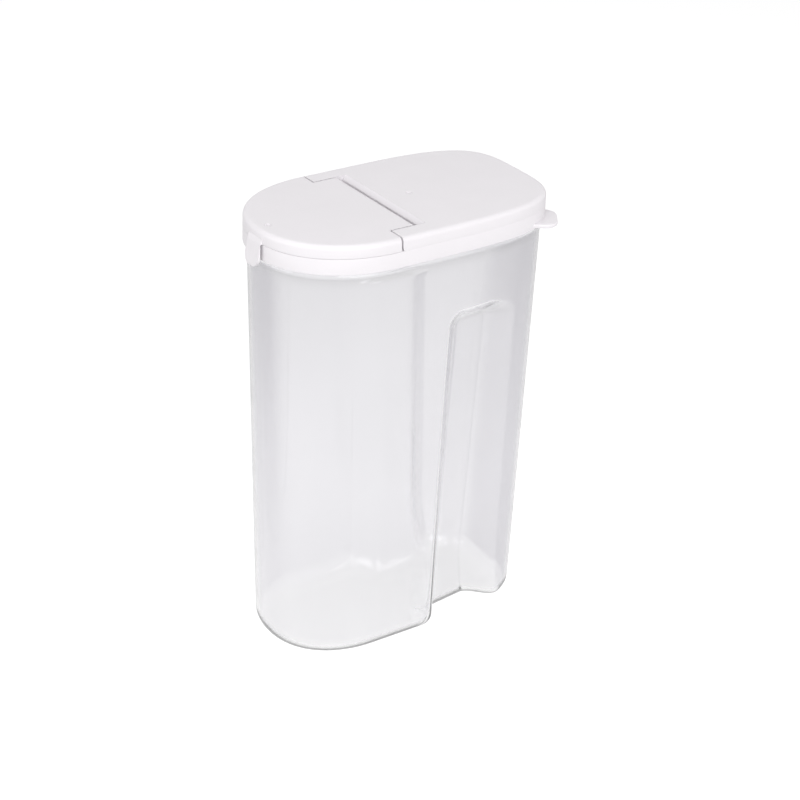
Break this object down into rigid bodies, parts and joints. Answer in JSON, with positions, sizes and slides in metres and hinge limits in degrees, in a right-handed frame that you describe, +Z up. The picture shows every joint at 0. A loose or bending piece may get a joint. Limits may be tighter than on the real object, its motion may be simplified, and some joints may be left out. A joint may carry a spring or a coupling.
{
  "type": "cereal container",
  "caption": "Tall clear food canister with grip recesses in its long sides, a lift-off white lid and a hinged flap over a pour opening.",
  "frame": {"origin": "centre of the flat under the container, below the middle of the lid's plan", "axes": "+Z up, -X towards the spout end, +X towards the grip end, +Y to the side away from the pull tab"},
  "size_m": [0.1683, 0.096, 0.2506],
  "materials": {
    "clear_plastic": "clear and polished, thin walled, faintly cool",
    "lid_plastic": "satin white with a very fine moulded texture",
    "flap_plastic": "satin white with a very fine moulded texture"
  },
  "bodies": {
    "container": {"container": "clear_plastic"},
    "lid": {"lid": "lid_plastic"},
    "flap": {"flap": "flap_plastic"}
  },
  "joints": [
    {"name": "lid_lift", "type": "slide", "parent": "container", "child": "lid", "axis": [0, 0, 1], "range_m": [0, 0.07]},
    {"name": "flap_hinge", "type": "hinge", "parent": "lid", "child": "flap", "pos_m": [-0.0127, 0, 0.2474], "axis": [0, 1, 0], "range_deg": [0, 135]}
  ]
}
